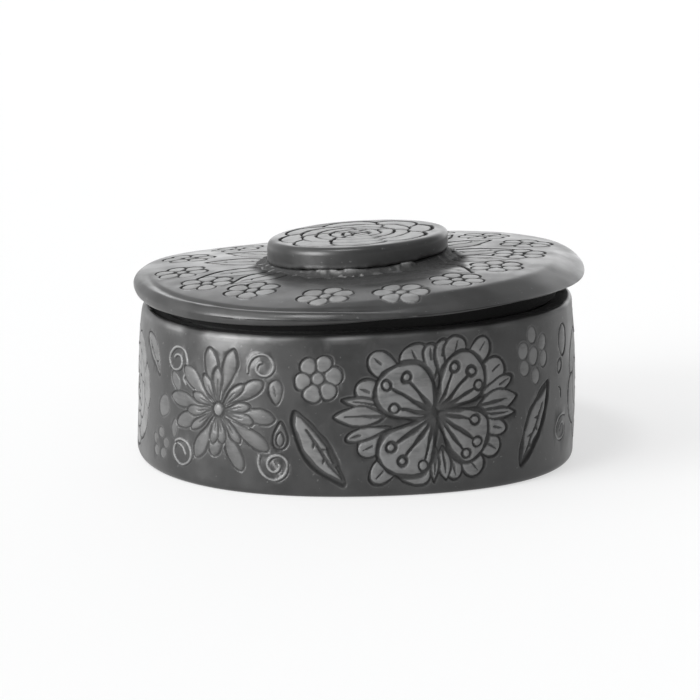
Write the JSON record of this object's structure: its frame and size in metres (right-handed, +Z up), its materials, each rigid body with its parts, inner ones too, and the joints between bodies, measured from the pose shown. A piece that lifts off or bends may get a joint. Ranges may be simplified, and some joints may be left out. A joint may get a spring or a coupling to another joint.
{
  "type": "lidded clay box",
  "caption": "Low round box of burnished black clay: a slab floor inside a thick wall, and an overhanging lid that drops in on a flange and lifts off by a broad disc knob.",
  "frame": {"origin": "middle of the object's box, on the plane it stands on", "axes": "+Z up, the way the lid lifts; +X towards the side where the hand-built rim, lid and knob stand highest"},
  "size_m": [0.1484, 0.1484, 0.0728],
  "materials": {
    "burnished_clay": "satin, burnished by hand, with incised lines left matt",
    "raw_clay": "matt, smoothed but not burnished"
  },
  "bodies": {
    "box": {"floor_slab": "raw_clay", "floor_luting_coil": "raw_clay", "body_wall": "burnished_clay"},
    "lid": {"lid_plate": "burnished_clay", "lid_flange": "raw_clay", "knob_neck": "raw_clay", "neck_luting_coil": "raw_clay", "knob_disc": "burnished_clay"}
  },
  "joints": [
    {"name": "lid_lift", "type": "slide", "parent": "box", "child": "lid", "axis": [0, 0, 1], "range_m": [0, 0.08]}
  ]
}
